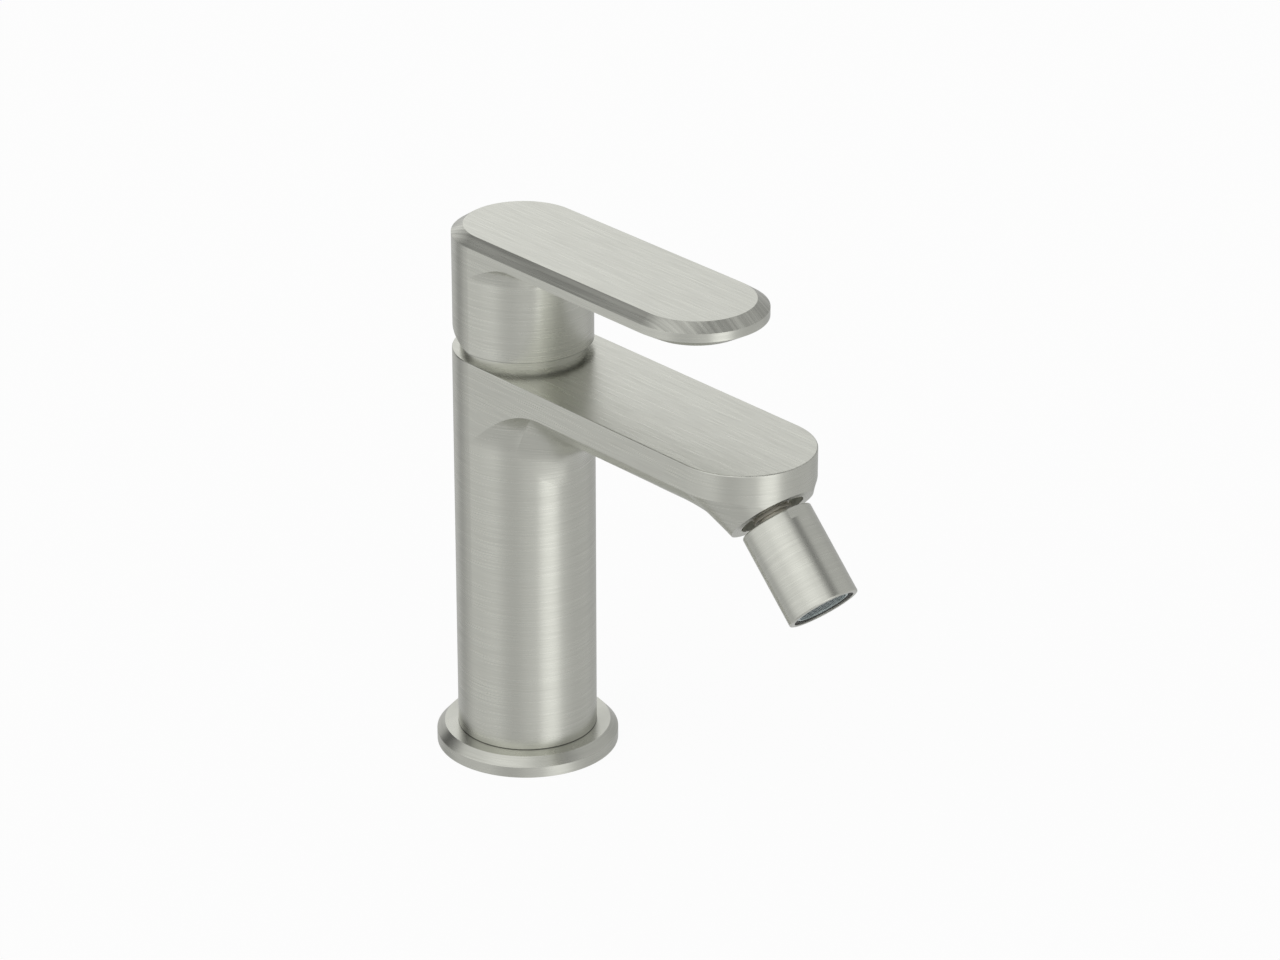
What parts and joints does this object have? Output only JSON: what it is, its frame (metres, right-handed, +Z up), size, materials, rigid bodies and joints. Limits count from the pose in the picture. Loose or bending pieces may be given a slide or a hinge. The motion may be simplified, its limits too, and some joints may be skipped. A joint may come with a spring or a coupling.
{
  "type": "bidet mixer",
  "caption": "Single-lever bidet mixer in brushed nickel: round column on a base ring, flat arm, and a swivelling nozzle turned down at its end.",
  "frame": {"origin": "centre of the base ring's underside, where the mixer stands on the deck", "axes": "+Z up along the column, -Y along the arm towards the nozzle, +X to the mixer's left seen from behind the column, looking along the arm"},
  "size_m": [0.055, 0.1643, 0.1675],
  "materials": {
    "brushed_nickel": "brushed nickel plate on brass, satin",
    "brass": "turned, unplated",
    "steel": "turned stainless steel",
    "chrome": "bright plate",
    "ceramic": "lapped ceramic",
    "white_plastic": "moulded",
    "red_plastic": "moulded",
    "black_plastic": "moulded",
    "rubber": "moulded seal"
  },
  "bodies": {
    "mixer": {"base_ring": "brushed_nickel", "base_gasket": "rubber", "column": "brushed_nickel", "body": "brushed_nickel", "cartridge_base": "white_plastic", "port_seals": "rubber", "cartridge_housing": "white_plastic", "gland_seal": "rubber", "fixed_disc": "ceramic", "hose_block": "brass", "block_seals": "rubber", "retaining_nut": "brass", "cover_ring": "brushed_nickel", "hot_limit_ring": "red_plastic", "ball_stud": "brushed_nickel", "stud_washer": "rubber"},
    "turning_body": {"turning_collar": "white_plastic", "turn_stop": "white_plastic", "pivot_pin": "steel"},
    "lever_body": {"lever": "brushed_nickel", "lever_stem": "steel", "set_screw": "steel", "screw_plug": "brushed_nickel"},
    "disc_body": {"moving_disc": "ceramic", "disc_carrier": "white_plastic"},
    "slip_body": {"slip_ring": "white_plastic"},
    "nozzle_body": {"nozzle_shell": "brushed_nickel", "seat_washer": "white_plastic", "ball_retainer": "brass", "aerator_seal": "rubber", "aerator_housing": "black_plastic", "aerator_sleeve": "chrome", "aerator_screen": "black_plastic"}
  },
  "joints": [
    {"name": "lever_turn", "type": "hinge", "parent": "mixer", "child": "turning_body", "pos_m": [0, 0, 0.13], "axis": [0, 0, 1], "range_deg": [-50, 50]},
    {"name": "lever_lift", "type": "hinge", "parent": "turning_body", "child": "lever_body", "pos_m": [0, 0, 0.13], "axis": [-1, 0, 0], "range_deg": [0, 20]},
    {"name": "disc_slide", "type": "slide", "parent": "turning_body", "child": "disc_body", "axis": [0, -1, 0], "range_m": [0, 0.0035]},
    {"name": "nozzle_spin", "type": "hinge", "parent": "mixer", "child": "slip_body", "pos_m": [0, -0.11466, 0.10539], "axis": [0, -0.7071, -0.7071], "continuous": true},
    {"name": "nozzle_tilt", "type": "hinge", "parent": "slip_body", "child": "nozzle_body", "pos_m": [0, -0.11466, 0.10539], "axis": [1, 0, 0], "range_deg": [-12, 12]}
  ],
  "couplings": [
    {"joint": "disc_slide", "follows": "lever_lift", "m_per_rad": 0.0098}
  ]
}
